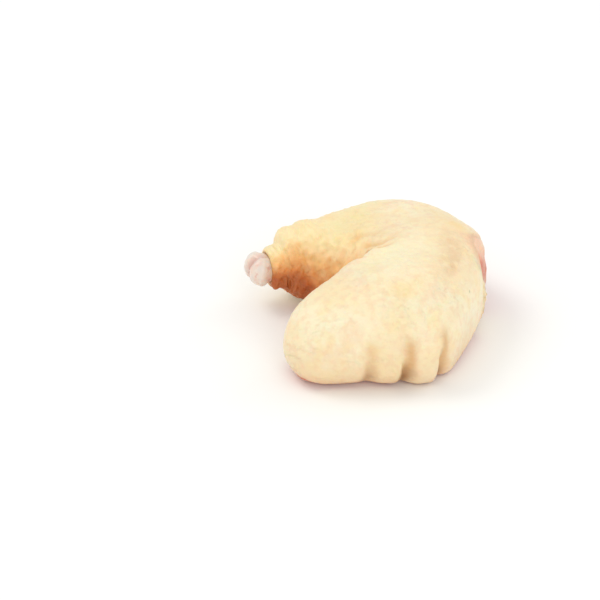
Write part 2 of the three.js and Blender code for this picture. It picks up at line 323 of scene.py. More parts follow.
def sectionSteps(first, last, count, endCount):
    # section positions: even in the middle, at the cosines of even angles in the rounded ends
    cap = 1 - np.cos(np.linspace(0, np.pi / 2, endCount + 1)[1:])
    start, stop = firstSection + legForm["ankleCap"] * cap, lastSection - legForm["hipCap"] * cap[::-1]
    middleSteps = np.linspace(start[-1], stop[0], count + 2)[1:-1]
    steps = np.concatenate([start, middleSteps, stop])
    return steps[(steps >= first) & (steps <= last)][:, None]


# the footprint's middle goes to the origin, as the solids have it
sectionCount, turnCount = 301, 181
everySection = np.linspace(firstSection, lastSection, sectionCount)[:, None]
everyTurn = np.linspace(0, 360, turnCount)[None, :]
outline = legSurface(everySection, everyTurn).reshape(-1, 3)
middle = (outline.max(0) + outline.min(0)) / 2 * [1, 1, 0]


def addObject(name, data):
    # a new object in the scene, with its mesh, lamp or camera
    thing = bpy.data.objects.new(name, data)
    bpy.context.scene.collection.objects.link(thing)
    return thing


def putMesh(name, rings, closedEnds, marks, stripTo=None):
    # quads over closed rings of points; an end is closed by a fan, and a strip's by triangles between
    # its outer columns, 0 to stripTo, and its inner ones, which run back behind them
    count, girth = rings.shape[:2]
    places = rings.reshape(-1, 3)
    values = {mark: np.asarray(v, float).reshape(count * girth, -1) for mark, v in marks.items()}
    at = np.arange(count * girth).reshape(count, girth)
    nextAt = np.roll(at, -1, 1)
    quads = np.stack([at[:-1], nextAt[:-1], nextAt[1:], at[1:]], -1).reshape(-1, 4)
    triangles = []
    for row in closedEnds:
        pair = (nextAt[0], at[0]) if row == 0 else (at[-1], nextAt[-1])
        triangles.append(np.stack([*pair, np.full(girth, len(places))], -1))
        places = np.concatenate([places, rings[row].mean(0)[None]])
        values = {mark: np.concatenate([v, v[at[row]].mean(0)[None]]) for mark, v in values.items()}
    if stripTo:
        innerCount = girth - stripTo - 2
        back = at[0, ::-1][:innerCount + 1]
        ratio = stripTo // innerCount
        j, k = np.arange(stripTo), np.arange(innerCount)
        triangles.append(np.stack([at[0, j + 1], at[0, j], back[j // ratio]], -1))
        triangles.append(np.stack([back[k], back[k + 1], at[0, (k + 1) * ratio]], -1))
    triangles = np.concatenate(triangles)
    lowest, highest = np.array(cadLow) * 1000, np.array(cadHigh) * 1000
    inside = legForm["insideBox"]
    places = np.clip(places - middle, lowest + inside, highest - inside) / 1000

    mesh = bpy.data.meshes.new(name)
    mesh.from_pydata(places.tolist(), [], quads.tolist() + triangles.tolist())
    for mark, flat in values.items():
        isVector = flat.shape[1] == 3
        layer = mesh.attributes.new(mark, "FLOAT_VECTOR" if isVector else "FLOAT", "POINT")
        layer.data.foreach_set("vector" if isVector else "value", flat.ravel())
    isSmooth = np.ones(len(mesh.polygons), bool)
    if stripTo:    # the cut edges of the strip are flat faces
        isSmooth[:len(quads)].reshape(count - 1, girth)[:, [stripTo, girth - 1]] = False
    mesh.polygons.foreach_set("use_smooth", isSmooth)
    if stripTo:    # the last ring is two points, one on each face of the strip
        sameWithin = 1e-6
        welded = bmesh.new()
        welded.from_mesh(mesh)
        bmesh.ops.remove_doubles(welded, verts=welded.verts, dist=sameWithin)
        welded.to_mesh(mesh)
        welded.free()
    print(name, "has", sum(len(p.vertices) - 2 for p in mesh.polygons), "triangles")
    return addObject(name, mesh)


# skin: a strip that wraps each section from its outer margin over the top to its inner margin
skinLook = {
    "rings": 350, "endRings": 24, "outerSteps": 210, "innerSteps": 42, "firstRing": 0.14,
    "shoulderTurn": 150.0, "lowerColumns": 8, "ofColumns": 21,    # 8 in 21 lie below the shoulder
    "sunk": 0.35, "deepest": 1.2, "softening": 0.5,    # mm left for relief inside the solid, and its floor
    "swells": (32, 0.32, 3),    # size, height and seed, also of the wanders and the lobules
    "poreCell": 3.1, "poreRadius": 1.3, "poreHeight": 0.27,
    "porePatch": (22, 8, 0.55, 0.3, 0.15, 1.3), "poreMore": 0.5,    # more on the drumstick
    "lobules": (5.5, 0.36, 11), "lobuleShare": (0.18, 0.9),        # fat under its skin
    "pleatPitch": 0.4, "pleatDepth": 0.16, "pleatWidth": 0.24,     # fine pleats by the fold
    "pleatWander": (15, 0.14, 17), "pleatPatch": (9, 23, 0.7, 0.4, 0, 1.25),
    "neckPitch": 0.33, "neckDepth": 0.32, "neckFrom": (2.6, 1.2),
    "neckWander": (15, 0.08, 17), "neckPatch": (16, 29, 0, 1, 0, 1),
    "wrinkleSize": 9, "wrinkleStretch": 0.45, "wrinkleDepth": 0.42, "wrinkleWidth": 0.16,
    "wrinklePatch": (25, 37, 0.6, 1, 0, 1),
    "backRise": 1.7, "backSections": (7.3, 8, 9.6, 11), "backHill": (212, 16),
    # lumps of fat by the fold and a bulge at the knee: section, degrees, the two widths, mm
    "lumps": ((4.1, 231, 0.3, 9, 0.7), (4.45, 212, 0.3, 8, 0.5),
              (6.35, 150, 0.3, 8, 0.4), (6.85, 152, 0.25, 10, -0.4)),
    "marginThickness": 0.3, "marginDrop": 0.2, "marginBlend": 1.3, "thinBand": 4.0,
    "lipHeight": 0.2, "lipAt": 3, "lipWidth": 1.6,
    "seamDepth": 0.4, "rimDepth": 0.9, "rimWidth": 0.8, "collarThickness": 0.9, "collarBlend": 4,
    # mm over which the relief fades in at the margin and the ends, and what is left there; the half
    # of the bare angle at which the margin opens
    "marginFade": 3, "collarFade": 6, "hipFade": 4, "endRelief": 0.25, "openFrom": (-0.5, 6),
    # where the colours lie: degrees at which the flush and the painted shade of the gap start, and soft
    # spots as the lumps have them
    "flushShadeDrum": 211, "flushShadeAnkle": 18, "ankleFrom": (1.7, 0.4), "flushShadeThigh": 222, "flushShadeReach": 45,
    # painted shade: into the gap past the flush's start, low on the thigh's front below these heights, and
    # in the pleats' valleys
    "gapShadeFrom": 33, "gapShadeTo": 87, "pebbledFrom": (5.4, 4), "lowShadeFrom": (26, 4), "pleatShade": 0.2,
    "crescentWidth": 5, "rimTint": 1.2,
    "flushSpots": ((3.7, 209, 0.5, 9, 0.45), (4.95, 219, 0.6, 9, 0.4)),
    "fatSpots": ((6.2, 154, 0.3, 9, 1), (6.45, 148, 0.25, 7, 0.8), (9.7, 152, 0.4, 9, 0.6),
                 (9.1, 156, 0.4, 8, 0.4)),
    # greyish thinner skin over the knee, partly painted shade
    "greyShadeSpots": ((7.1, 161, 0.5, 10, 0.5), (7.6, 155, 0.6, 10, 0.5), (8.05, 147, 0.6, 9, 0.6),
                  (8.55, 143, 0.5, 9, 0.25), (8.22, 140, 0.22, 5, 0.6)),
    # a painted highlight on the thigh's dome
    "domeHighlightSpot": ((8.3, 190, 1.3, 24, 1),),
}
# folds that run out from the fold behind the knee: mm from the footprint's middle, then depth and width
kneeFolds = (
    ((-9.5, 0, 39.5, 1.5, 1.4), (-6.8, -1.6, 43.5, 2.8, 1.4), (-3.1, -3, 46.2, 1.8, 1.3),
     (-1.1, -5.6, 48, 1.0, 1.4), (4.2, -5.1, 49.2, 0.5, 1.6), (9, -4.5, 49.7, 0, 1.8)),
    ((-6.5, 8.5, 41, 0, 1.6), (-3.5, 6.6, 43.6, 0.9, 1.8), (-1.4, 3.9, 45.7, 1.0, 1.9),
     (1.8, 0.5, 47.7, 0.8, 2.0), (7.8, 0.9, 49, 0.4, 2.3), (13, 2.5, 49.3, 0, 2.4)),
    ((-7.5, 17.5, 41.5, 0.2, 2.2), (-4.8, 16.6, 43.7, 0.9, 2.3), (-1.6, 15.8, 44.8, 0.6, 2.1),
     (1.5, 13.2, 46.5, 0.4, 2.2), (5.8, 10.4, 47.7, 0.2, 2.4), (9, 8.5, 48.3, 0, 2.4)),
    ((-10.5, 10.5, 36, 0, 1.4), (-9.2, 10.8, 38.6, 0.8, 1.4), (-7.6, 10.2, 40.6, 0.5, 1.3),
     (-6.6, 8.5, 41.4, 0, 1.3)),
)
# painted shade at the tip of the deepest fold, and the swell of skin beside it
kneeLook = {
    "foldTipShade": (-5.8, 0.8, 43.6), "foldTipShadeWidth": 1.7,
    "swell": (-9.5, -7.5, 45.2), "swellWidth": 4.5, "swellHeight": 1.3,
}


def spots(u, turn, hills):
    # soft round marks added up: each is a hill along the leg times one round it, times its strength
    return sum(share * bump(u, at, width) * bump(turn, angle, angleWidth)
               for at, angle, width, angleWidth, share in hills)


def pleatValleys(u, turn, places):
    # 1 in the valleys of the fine pleats: a hill at each whole pitch, which wanders with soft noise
    look = skinLook
    pleat = (u + lumpy(places, look["pleatWander"])) / look["pleatPitch"]
    valley = bump(pleat - np.round(pleat), 0, look["pleatWidth"])
    return valley * inRegion("pleats", u, turn) * patchy(places, look["pleatPatch"])


def foldDepth(places):
    # mm sunk by the knee folds: for each path the depth at its nearest place, less with the distance
    # from it as a hill of the path's width
    depth = np.zeros(places.shape[:-1])
    for path in kneeFolds:
        nearest = np.full(places.shape[:-1], np.inf)
        sunk = np.zeros(places.shape[:-1])
        for a, b in zip(np.array(path[:-1]), np.array(path[1:])):
            line = b[:3] - a[:3]
            t = np.clip((places - a[:3]) @ line / (line @ line), 0, 1)
            away = length(places - a[:3] - t[..., None] * line)
            here = (a[3] + (b[3] - a[3]) * t) * bump(away, 0, a[4] + (b[4] - a[4]) * t)
            sunk = np.where(away < nearest, here, sunk)
            nearest = np.minimum(nearest, away)
        depth = np.maximum(depth, sunk)
    return depth


def skinRelief(u, turn, places):
    # mm above the leg's surface: all the reliefs added up, what lies too deep softened by a tanh
    look = skinLook
    swells = lumpy(places, look["swells"])
    onDrum = look["poreMore"] * within(u, regions["drumInner"][0])
    pores = pimples(places, look["poreCell"], look["poreRadius"], seed=5)
    pores = look["poreHeight"] * pores * patchy(places, look["porePatch"], onDrum)
    everywhere, more = look["lobuleShare"]
    lobules = lumpy(places, look["lobules"]) * (everywhere + more * inRegion("drumInner", u, turn))
    pleats = -look["pleatDepth"] * pleatValleys(u, turn, places)
    neck = (u + lumpy(places, look["neckWander"])) / look["neckPitch"]
    neckFolds = look["neckDepth"] * np.cos(2 * np.pi * neck) * smooth(*look["neckFrom"], u)
    neckFolds = neckFolds * patchy(places, look["neckPatch"])
    ridge = np.abs(softNoise(places * [1, look["wrinkleStretch"], 1], look["wrinkleSize"], seed=31))
    wrinkles = -look["wrinkleDepth"] * bump(ridge, 0, look["wrinkleWidth"])
    wrinkles = wrinkles * inRegion("thighFront", u, turn) * patchy(places, look["wrinklePatch"])
    back = look["backRise"] * within(u, look["backSections"]) * bump(turn, *look["backHill"])
    fromMiddle = places - middle
    fromSwell = length(fromMiddle - kneeLook["swell"])
    swell = kneeLook["swellHeight"] * bump(fromSwell, 0, kneeLook["swellWidth"])
    folds = back + swell - foldDepth(fromMiddle) + spots(u, turn, look["lumps"])
    total = swells + pores + lobules + pleats + neckFolds + wrinkles + folds - look["sunk"]
    tooDeep = np.tanh((-look["deepest"] - total) / look["softening"])
    return np.where(total < -look["deepest"], -look["deepest"] - look["softening"] * tooDeep, total)


def skinMarks(u, turn, base, first, last, openShare, fromCollar):
    # what the finish reads, 0 to 1 on every point: windows of regions times hills and S curves
    look = skinLook
    drumStart = look["flushShadeDrum"] - look["flushShadeAnkle"] * smooth(*look["ankleFrom"], u)
    start = np.where(u < foldSection, drumStart, look["flushShadeThigh"])
    onWall = inRegion("gapWall", u, turn)
    # the flush is the orange of thin skin on the gap's wall, with painted shade deepening towards the gap
    flushAndGapShade = smooth(start, start + look["flushShadeReach"], turn) * onWall + spots(u, turn, look["flushSpots"])
    # painted shade in the pressed channels, and a painted contact shadow at their foot
    pressed = fluteAt(u, fluteForm["markHeight"]) * within(turn, fluteForm["markTurns"])
    fromMiddle = base - middle
    return {
        "flushAndGapShade": flushAndGapShade,
        # painted shade that darkens the wall of the gap
        "paintedGapShade": smooth(start + look["gapShadeFrom"], start + look["gapShadeTo"], turn) * onWall,
        "fat": spots(u, turn, look["fatSpots"]),
        # greyish thinner skin over the knee, partly painted shade
        "greyedAndShaded": spots(u, turn, look["greyShadeSpots"]),
        "thin": openShare * bump(np.minimum(first, last), 0, look["thinBand"]),
        # painted shade in the valleys of the knee folds and the pleats
        "foldShade": foldDepth(fromMiddle) + look["pleatShade"] * pleatValleys(u, turn, base),
        "pressed": pressed,
        "grooveFootShadow": pressed * smooth(*fluteForm["footShadowTurns"], turn),
        "crescent": inRegion("crescent", u, turn) * bump(first, 0, look["crescentWidth"]),
        "drumTop": inRegion("drumTop", u, turn),
        # painted shade, darker towards the foot of the thigh's front
        "low": inRegion("thighLow", u, turn) * smooth(*look["lowShadeFrom"], base[..., 2]),
        # a painted highlight on the thigh's dome
        "domeHighlight": spots(u, turn, look["domeHighlightSpot"]),
        "rim": bump(fromCollar, 0, look["rimTint"]),
        "pebbled": flushAndGapShade * smooth(*look["pebbledFrom"], u),
        # painted shade at the tip of the deepest fold
        "foldTipShade": bump(length(fromMiddle - kneeLook["foldTipShade"]), 0, kneeLook["foldTipShadeWidth"]),
    }


def stripGrid(u, start, stop, count):
    # the leg's surface under the skin, in even steps to the shoulder and from there on: angles, places,
    # normals, mm to the strip's first and last point, to its margin and to the collar, and mm by which
    # it drops at the margin and the rim
    look = skinLook
    shoulder = np.full_like(start, look["shoulderTurn"])
    lower = count * look["lowerColumns"] // look["ofColumns"]
    below = evenTurns(u, start, shoulder, lower + 1)
    turn = np.concatenate([below, evenTurns(u, shoulder, stop, count - lower + 1)[:, 1:]], 1)
    places = legSurface(u, turn)
    normals = outward(places, False)
    normals[-1] = normals[-2].mean(0)
    first, last = edgeDistance(places)
    edge = np.minimum(first * slantShare(u, start), last * slantShare(u, stop))
    fromCollar = length(places - places[:1])
    dropped = look["marginDrop"] * bump(edge, 0, look["marginBlend"])
    rim = look["rimDepth"] * bump(fromCollar, 0, look["rimWidth"])
    return turn, places, normals, first, last, edge, fromCollar, dropped, rim


def skinPiece():
    # the outer face is the leg's surface moved out by the relief, the inner one moved in by the
    # thickness, which thins to an edge at the margin
    look = skinLook
    u = sectionSteps(firstSection + look["firstRing"], lastSection, look["rings"], look["endRings"])
    u = np.append(u, [[lastSection]], 0)
    start, stop = marginTurns(u, marginForm["skinOverlap"])
    grid = stripGrid(u, start, stop, look["outerSteps"])
    turn, base, normals, first, last, edge, fromCollar, dropped, rim = grid
    openShare = smooth(*look["openFrom"], 180 - (stop - start) / 2)    # 0 where the two edges meet
    lip = openShare * (look["lipHeight"] * bump(edge, look["lipAt"], look["lipWidth"]) - dropped)
    seam = -look["seamDepth"] * (1 - openShare) * smooth(look["marginFade"], 0, first) * (u < foldSection)
    fade = smooth(0, look["collarFade"], fromCollar) * smooth(0, look["hipFade"], length(base - base[-1:]))
    fade = look["endRelief"] + (1 - look["endRelief"]) * fade
    relief = skinRelief(u, turn, base) * fade
    relief = relief * np.where(openShare > 0.5, smooth(0, look["marginFade"], edge), 1)
    outer = base + normals * (relief + lip + seam - rim)[..., None]
    outer[..., 2] = np.maximum(outer[..., 2], legForm["skinLift"])

    grid = stripGrid(u, start, stop, look["innerSteps"])
    inner, innerNormals, edgeIn, fromCollarIn, droppedIn, rimIn = *grid[1:3], *grid[5:]
    innerNormals[-1] = normals[-1, 0]
    full, collar = legForm["skinThickness"], look["collarThickness"]
    thickness = full - (full - look["marginThickness"]) * openShare * smooth(look["thinBand"], 0, edgeIn)
    thickness = collar + (thickness - collar) * smooth(0, look["collarBlend"], fromCollarIn)
    inner = inner - innerNormals * (thickness + openShare * droppedIn + rimIn)[..., None]
    inner[..., 2] = np.maximum(inner[..., 2], legForm["skinLift"] + thickness)
    rings = np.concatenate([outer, inner[:, ::-1]], 1)

    unmarked = np.zeros((len(u), look["innerSteps"] + 1))    # the inner face carries no marks
    marks = {name: np.concatenate([np.clip(mark, 0, 1), unmarked], 1) for name, mark in
             skinMarks(u, turn, base, first, last, openShare, fromCollar).items()}
    return putMesh("legSkin", rings, (), marks, stripTo=look["outerSteps"])


# meat: fills the skin, and rises to the surface where no skin lies
meatLook = {
    "rings": 250, "endRings": 16, "steps": 168, "firstRing": -0.2, "underSkin": 2.8,
    "pastMargin": (-5, -4, -3, -2, -1, 0, 1),    # mm outside the skin's margin, and depth there
    "depth": (2.5, 2.35, 2.0, 1.35, 0.76, 0.52, 0.28),
    "bulges": (16, 0.5, 41), "bulgeMost": 0.3, "fine": (3.2, 0.16, 43), "fineMost": 0.1, "fineStretch": 0.5,
    # furrows between muscles: degrees from the bottom, swing, waves for each section, shift, window
    "furrows": ((4, 9, 0.9, 0, (3.2, 4.2, 14, 15)), (34, 8, 0.7, 2, (3.2, 4.2, 14, 15)),
                (-24, 7, 1.1, 1, (3.2, 4.2, 14, 15)), (78, 6, 1.7, 0, (-4, -3, 5.6, 6.2))),
    "furrowWidth": 2.6, "furrowDepth": 1.5, "furrowLift": 0.9,
    # mm past the margin over which the meat counts as bare, furrows, bulges and the pad come in
    "bareFrom": (-5, 0), "furrowFrom": (0, 3), "bulgeFrom": (0, 6), "padFrom": (0.5, 3),
    "veilFrom": (31, 40), "veilRise": 0.25, "veilWidth": 2.0,    # membrane: mm up the knee, and mm
    "tailFrom": (27, 22), "tailSections": (7, 7.3),
    # pad of fat: middle and half sizes, by sections and by mm up the knee
    "padMiddle": (7.62, 9), "padHalf": (0.75, 12.5), "padOutline": (1.25, 0.75),
    "padWander": (9, 0.06, 63), "padHeight": 0.3, "padUneven": (3.2, 0.8, 67),
}
kneeUp = np.array([0.19, 0.46, 0.87])    # slanting up the front of the knee


def muscleFurrows(u, turn):
    # 1 along a few furrows that wander as sine waves along the leg, each a hill across
    look = meatLook
    fromBottom = np.where(turn > marginForm["innerFrom"], turn - 360, turn)
    deepest = np.zeros(np.broadcast(u, turn).shape)
    for centre, swing, rate, shift, window in look["furrows"]:
        wandering = centre + swing * np.sin(rate * u + shift)
        furrow = bump(fromBottom, wandering, look["furrowWidth"]) * within(u, window)
        deepest = np.maximum(deepest, furrow)
    return deepest


def padOfFat(u, turn, places, height):
    # 1 on a pad of pale fat low at the front of the knee, falling to an oval outline moved by noise
    look = meatLook
    across = (u - look["padMiddle"][0]) / look["padHalf"][0]
    upward = (height - look["padMiddle"][1]) / look["padHalf"][1]
    fromMiddle = np.hypot(across, upward) + lumpy(places, look["padWander"])
    return smooth(*look["padOutline"], fromMiddle) * inRegion("kneeFat", u, turn)


def meatPiece():
    # the leg's surface moved in by a depth that goes by the distance past the skin's margin, with
    # bulges and furrows where it lies bare
    look = meatLook
    u = sectionSteps(look["firstRing"], lastSection, look["rings"], look["endRings"])
    turn = evenTurns(u, np.zeros_like(u), np.full_like(u, 360.0), look["steps"] + 1)[:, :-1]
    base = legSurface(u, turn)
    normals = outward(np.concatenate([base, base[:, :1]], 1), True)[:, :-1]
    normals[-1] = normals[-2].mean(0)
    past = pastMargin(u, turn, base)
    bare = smooth(*look["bareFrom"], past)
    furrows = muscleFurrows(u, turn) * smooth(*look["furrowFrom"], past)
    fine = lumpy(base * [look["fineStretch"], 1, 1], look["fine"])
    raised = np.minimum(lumpy(base, look["bulges"]), look["bulgeMost"]) + np.minimum(fine, look["fineMost"])
    depth = np.interp(past, look["pastMargin"], look["depth"])
    offset = -depth + smooth(*look["bulgeFrom"], past) * (raised - look["furrowDepth"] * furrows)
    height = (base - middle) @ kneeUp
    fatPad = padOfFat(u, turn, base, height)
    lobules = look["padHeight"] * (1 + lumpy(base, look["padUneven"]))
    offset = offset + lobules * fatPad * smooth(*look["padFrom"], past)
    # the sliver of meat at the front of the knee pales upwards under a membrane level with the skin,
    # and ends tan below
    onKnee = inRegion("kneeMeat", u, turn)
    veil = smooth(*look["veilFrom"], height) * onKnee
    tail = smooth(*look["tailFrom"], height) * smooth(*look["tailSections"], u) * onKnee
    offset = offset + look["veilRise"] * veil * bump(past, 0, look["veilWidth"])
    places = base + normals * offset[..., None]
    lowest = look["underSkin"] * (1 - bare) + look["furrowLift"] * furrows
    places[..., 2] = np.maximum(places[..., 2], lowest)
    along = np.cumsum(length(np.diff(base, axis=0, prepend=base[:1])), 0)
    across = np.cumsum(length(np.diff(base, axis=1, prepend=base[:, :1])), 1)
    across = np.minimum(across, across[:, -1:] - across)    # the same on both sides of the bottom line
    grain = np.stack([along, across, np.zeros_like(along)], -1) / 1000
    marks = {"furrow": furrows, "grain": grain, "veil": veil, "tail": tail, "fatPad": fatPad}
    return putMesh("legMeat", places, (0, -1), marks)


# ankle: a short neck and the knuckle of the joint, two rounded lobes with a groove between
ankleLook = {
    "rings": 110, "steps": 96, "neckRadius": 7.3, "knuckleRadius": 10.4, "reach": 14, "sunk": 12,
    "flare": (0.45, 0.82), "closeFrom": 0.66, "openTo": 0.12,    # shares of the length
    "lobeWave": 0.1, "lobeLess": 0.05, "grooveDepth": 1.9, "grooveWidth": 0.33,
    "endFrom": (0.62, 0.95), "endDepth": 2.2, "endWidth": 2.8,
    "gristleFrom": (0.35, 0.75), "hollowTo": (0.97, 0.9), "hollowWidth": 2.4,
    "lumps": (8, 0.16, 51), "grains": (3, 0.05, 53), "sunkRelief": 0.35,
}


def anklePiece():
    # radius along the bone: neck, flare, ends rounded as circles; two lobes by a cosine wave of half a
    # turn, and a groove between them that runs on over the end face
    look = ankleLook
    cap = np.array([[firstSection + legForm["ankleCap"]]])
    centre = (legSurface(cap, np.array([[90.0]])) + legSurface(cap, np.array([[270.0]])))[0, 0] / 2
    along = ((1 - np.cos(np.linspace(0, np.pi, look["rings"] + 2)[1:-1])) / 2)[:, None]
    angle = -2 * np.pi * (np.arange(look["steps"]) / look["steps"])[None, :]
    side, rise = np.cos(angle), np.sin(angle)
    flare = smooth(*look["flare"], along)
    closing = np.clip((along - look["closeFrom"]) / (1 - look["closeFrom"]), 0, 1)
    close = np.sqrt(1 - closing ** 2)
    opening = np.sqrt(1 - np.clip((look["openTo"] - along) / look["openTo"], 0, 1) ** 2)
    radius = (look["neckRadius"] + (look["knuckleRadius"] - look["neckRadius"]) * flare) * close * opening
    lobes = 1 + flare * (look["lobeWave"] * np.cos(2 * angle) - look["lobeLess"])
    inGroove = bump(side, 0, look["grooveWidth"])
    groove = look["grooveDepth"] * flare * inGroove
    length = look["reach"] + look["sunk"]
    ending = look["endDepth"] * smooth(*look["endFrom"], along) * bump(side * radius, 0, look["endWidth"])
    places = np.stack([centre[0] + look["sunk"] - along * length + ending,
                       centre[1] + side * radius * lobes,
                       centre[2] + rise * (radius * lobes - groove)], -1)
    normals = outward(np.concatenate([places, places[:, :1]], 1), True)[:, :-1]
    raised = lumpy(places, look["lumps"]) + lumpy(places, look["grains"]) - look["sunkRelief"]
    places = places + normals * (raised * close)[..., None]
    gristle = np.broadcast_to(smooth(*look["gristleFrom"], along), places.shape[:2])
    # pink flesh and painted shade in the groove and on the end face
    onEnd = bump(side * radius, 0, look["hollowWidth"])
    hollowPinkAndShade = flare * np.maximum(inGroove * smooth(*look["hollowTo"], along), onEnd)
    return putMesh("ankleKnuckle", places, (0, -1), {"gristle": gristle, "hollowPinkAndShade": hollowPinkAndShade})


print("building the leg's surfaces")
legSkin = skinPiece()
legMeat = meatPiece()
ankleKnuckle = anklePiece()
for piece, node, slotName in ((legSkin, "skin", "skin"), (legMeat, "meat", "meat"),
                              (ankleKnuckle, "shank_bone", "bone")):
    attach(piece, "root")
    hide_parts(node)


def linear(hexColour):
    # sRGB hex colour turned to linear light: a straight foot, and a power of 2.4 above it
    parts = [int(hexColour[i:i + 2], 16) / 255 for i in (1, 3, 5)]
    return [p / 12.92 if p <= 0.04045 else ((p + 0.055) / 1.055) ** 2.4 for p in parts] + [1.0]


def addNode(tree, kind, inputs=None, **settings):
    # a node with its settings; an input is a value, a hex colour or another node's output
    node = tree.nodes.new("ShaderNode" + kind)
    for key, value in settings.items():
        setattr(node, key, value)
    for key, value in (inputs or {}).items():
        if isinstance(value, bpy.types.NodeSocket):
            tree.links.new(value, node.inputs[key])
        else:
            node.inputs[key].default_value = linear(value) if isinstance(value, str) else value
    return node


def patternValue(tree, where, pattern):
    # a pattern is a mark's name, or its kind, what it takes, and levels, each two of which an S
    # stretches to 0 to 1; a value takes a node's output, a point its place in m, cells their pitch
    # in mm, and noise its size in mm and its detail
    kind, what, *levels = ("mark", pattern) if isinstance(pattern, str) else pattern
    if kind == "value":
        value = what
    elif kind == "mark":
        value = addNode(tree, "Attribute", attribute_name=what).outputs["Fac"]
    elif kind == "point":
        away = addNode(tree, "VectorMath", {0: where, 1: what}, operation="DISTANCE")
        value = away.outputs["Value"]
    elif kind == "cells":
        cells = {"Vector": where, "Scale": 1000 / what}
        value = addNode(tree, "TexVoronoi", cells).outputs["Distance"]
    else:
        noise = {"Vector": where, "Scale": 1000 / what[0], "Detail": what[1]}
        value = addNode(tree, "TexNoise", noise).outputs["Fac"]
    for low, high in zip(levels[::2], levels[1::2]):
        stretch = {"Value": value, "From Min": low, "From Max": high}
        stretched = addNode(tree, "MapRange", stretch, interpolation_type="SMOOTHSTEP")
        value = stretched.outputs["Result"]
    return value


def product(tree, where, factors):
    # factors multiplied in turn; each is a number, a pattern or a node's output
    values = [patternValue(tree, where, f) if isinstance(f, (str, tuple)) else f for f in factors]
    total = values[0]
    for value in values[1:]:
        total = addNode(tree, "Math", {0: total, 1: value}, operation="MULTIPLY").outputs[0]
    return total


def layColours(tree, where, colour, layers):
    # colours laid over the first, one after another, in a Mix node's colour inputs 6 and 7; the share
    # of each is the product of its factors
    for over, *factors in layers:
        mix = {0: product(tree, where, factors), 6: colour, 7: over}
        colour = addNode(tree, "Mix", mix, data_type="RGBA").outputs[2]
    return colour


def linkShader(tree, where, shader, colour, bumps, uneven=None, roughness=()):
    # the colour; layers of height, each its depth in mm and its factors, one bump node after another;
    # and roughness between two values where it is uneven
    tree.links.new(colour, shader.inputs["Base Color"])
    normal = None
    for depthMm, *factors in bumps:
        inputs = {"Height": product(tree, where, factors), "Strength": 1.0, "Distance": depthMm / 1000}
        if normal is not None:
            inputs["Normal"] = normal
        normal = addNode(tree, "Bump", inputs).outputs["Normal"]
    tree.links.new(normal, shader.inputs["Normal"])
    if uneven is not None:
        rough = {"Value": uneven, "To Min": roughness[0], "To Max": roughness[1]}
        tree.links.new(addNode(tree, "MapRange", rough).outputs["Result"], shader.inputs["Roughness"])


def newFinish(name, shaderValues):
    # a material with one shader, its even values set on the shader's own sockets
    finish = bpy.data.materials.new(name)
    finish.use_nodes = True
    tree = finish.node_tree
    shader = tree.nodes["Principled BSDF"]
    for key, value in shaderValues.items():
        shader.inputs[key].default_value = value
    where = addNode(tree, "TexCoord").outputs["Object"]
    return finish, tree, shader, where


def layeredFinish(name, tints):
    # a finish of colours laid one over another, with bumps
    finish, tree, shader, where = newFinish(name, tints["shader"])
    colour = layColours(tree, where, tints["base"], tints["layers"])
    uneven = patternValue(tree, where, tints["uneven"]) if "uneven" in tints else None
    linkShader(tree, where, shader, colour, tints["bumps"], uneven, tints.get("roughness"))
    return finish


